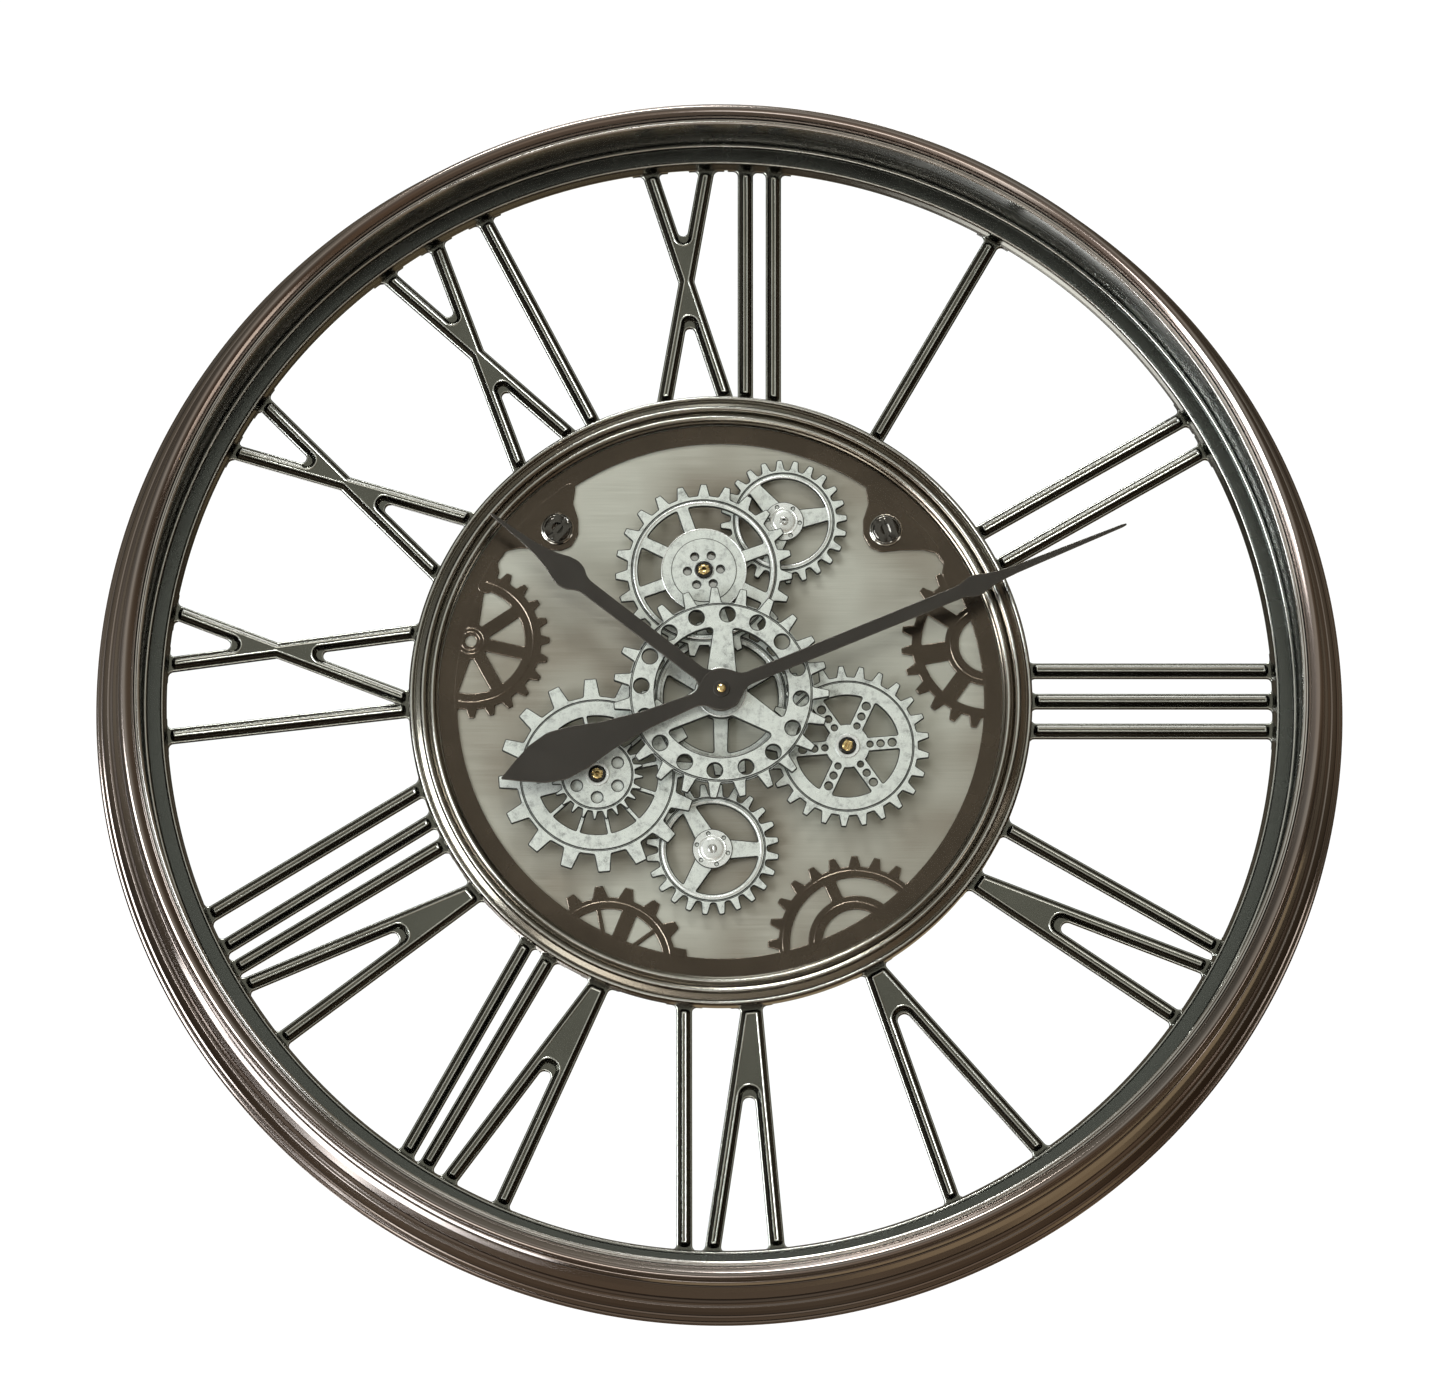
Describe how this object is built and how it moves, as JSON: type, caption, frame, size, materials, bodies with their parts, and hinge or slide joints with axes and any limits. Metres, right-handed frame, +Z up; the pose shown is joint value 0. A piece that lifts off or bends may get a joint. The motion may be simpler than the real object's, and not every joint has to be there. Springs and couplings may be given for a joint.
{
  "type": "wall clock",
  "caption": "Large round open-skeleton wall clock: deep stepped rim with front glass, pierced roman numerals, spade hands and a turning train of exposed gears.",
  "frame": {"origin": "centre of the flat back cover, on the hands' axis, in the plane that lies against the wall", "axes": "+Z up towards twelve, -Y out of the wall towards the viewer, +X towards three o'clock"},
  "size_m": [0.8, 0.086, 0.8],
  "materials": {
    "rim_bronze": "brushed antique bronze lacquer",
    "liner_dark": "dark grey-green lacquer",
    "pewter": "antique pewter lacquer",
    "dial_champagne": "brushed champagne",
    "overlay_bronze": "dark bronze lacquer",
    "gear_silver": "mottled antique silver",
    "hand_black": "dark brown-black",
    "brass_screw": "brushed",
    "steel_arbor": "bright",
    "glass_clear": "clear",
    "black_plastic": "moulded",
    "white_plastic": "moulded",
    "cover_black": "satin black",
    "steel_plate": "plain",
    "rubber_black": "soft",
    "battery_wrap": "plain sleeve"
  },
  "bodies": {
    "case": {"outer_rim": "rim_bronze", "rim_liner": "liner_dark", "glass_retaining_ring": "rim_bronze", "front_glass": "glass_clear", "numeral_flange": "pewter", "numeral_01": "pewter", "numeral_02": "pewter", "numeral_03": "pewter", "numeral_04": "pewter", "numeral_05": "pewter", "numeral_06": "pewter", "numeral_07": "pewter", "numeral_08": "pewter", "numeral_09": "pewter", "numeral_10": "pewter", "numeral_11": "pewter", "numeral_12": "pewter", "bezel": "pewter", "housing_pan": "cover_black", "back_cover": "cover_black", "dial_plate": "dial_champagne", "train_plate": "steel_plate", "overlay_plate": "overlay_bronze", "overlay_screw_left": "steel_arbor", "overlay_screw_right": "steel_arbor", "hanger_plate": "steel_plate", "bumper_left": "rubber_black", "bumper_right": "rubber_black", "movement_case": "black_plastic", "movement_battery": "battery_wrap", "mounting_nut": "brass_screw", "gear_motor": "black_plastic", "motor_battery": "battery_wrap"},
    "drive": {"drive_wheel": "brass_screw", "centre_rear_gear": "gear_silver", "centre_gear": "gear_silver"},
    "upper": {"upper_arbor": "steel_arbor", "upper_gear": "gear_silver", "upper_screw": "brass_screw"},
    "upper_right": {"upper_right_arbor": "steel_arbor", "upper_right_gear": "gear_silver", "upper_right_screw": "gear_silver"},
    "right": {"right_arbor": "steel_arbor", "right_gear": "gear_silver", "right_screw": "brass_screw"},
    "lower_left": {"lower_left_arbor": "steel_arbor", "lower_left_gear": "gear_silver", "lower_left_pinion": "gear_silver", "lower_left_screw": "brass_screw"},
    "lower": {"lower_arbor": "steel_arbor", "lower_gear": "gear_silver", "lower_screw": "gear_silver"},
    "motor_pinion": {"motor_pinion": "brass_screw"},
    "minute": {"minute_shaft": "brass_screw", "minute_hand": "hand_black"},
    "hour": {"hour_tube": "brass_screw", "hour_hand": "hand_black"},
    "knob": {"setting_knob": "white_plastic"},
    "switch": {"motor_switch": "white_plastic"}
  },
  "joints": [
    {"name": "minute_turn", "type": "hinge", "parent": "case", "child": "minute", "pos_m": [0, -0.0375, 0], "axis": [0, 1, 0], "continuous": true},
    {"name": "hour_turn", "type": "hinge", "parent": "case", "child": "hour", "pos_m": [0, -0.0375, 0], "axis": [0, 1, 0], "continuous": true},
    {"name": "knob_turn", "type": "hinge", "parent": "case", "child": "knob", "pos_m": [0, -0.00235, 0.016], "axis": [0, 1, 0], "continuous": true},
    {"name": "drive_turn", "type": "hinge", "parent": "case", "child": "drive", "pos_m": [0, -0.0375, 0], "axis": [0, 1, 0], "continuous": true},
    {"name": "upper_turn", "type": "hinge", "parent": "case", "child": "upper", "pos_m": [-0.01091, -0.0375, 0.08178], "axis": [0, 1, 0], "continuous": true},
    {"name": "upper_right_turn", "type": "hinge", "parent": "case", "child": "upper_right", "pos_m": [0.04049, -0.0375, 0.11554], "axis": [0, 1, 0], "continuous": true},
    {"name": "right_turn", "type": "hinge", "parent": "case", "child": "right", "pos_m": [0.08055, -0.0375, -0.03287], "axis": [0, 1, 0], "continuous": true},
    {"name": "lower_left_turn", "type": "hinge", "parent": "case", "child": "lower_left", "pos_m": [-0.07871, -0.0375, -0.0523], "axis": [0, 1, 0], "continuous": true},
    {"name": "lower_turn", "type": "hinge", "parent": "case", "child": "lower", "pos_m": [-0.00535, -0.0375, -0.09885], "axis": [0, 1, 0], "continuous": true},
    {"name": "motor_pinion_turn", "type": "hinge", "parent": "case", "child": "motor_pinion", "pos_m": [-0.06495, -0.0375, 0.0375], "axis": [0, 1, 0], "continuous": true},
    {"name": "switch_slide", "type": "slide", "parent": "case", "child": "switch", "axis": [1, 0, 0], "range_m": [0, 0.003]}
  ],
  "couplings": [
    {"joint": "hour_turn", "follows": "minute_turn", "ratio": 0.083333},
    {"joint": "knob_turn", "follows": "minute_turn", "ratio": -1},
    {"joint": "upper_turn", "follows": "drive_turn", "ratio": -2.6667},
    {"joint": "upper_right_turn", "follows": "drive_turn", "ratio": 1.5385},
    {"joint": "right_turn", "follows": "drive_turn", "ratio": -2.2222},
    {"joint": "lower_left_turn", "follows": "drive_turn", "ratio": -1.7391},
    {"joint": "lower_turn", "follows": "drive_turn", "ratio": -1.5385},
    {"joint": "motor_pinion_turn", "follows": "drive_turn", "ratio": -4}
  ]
}
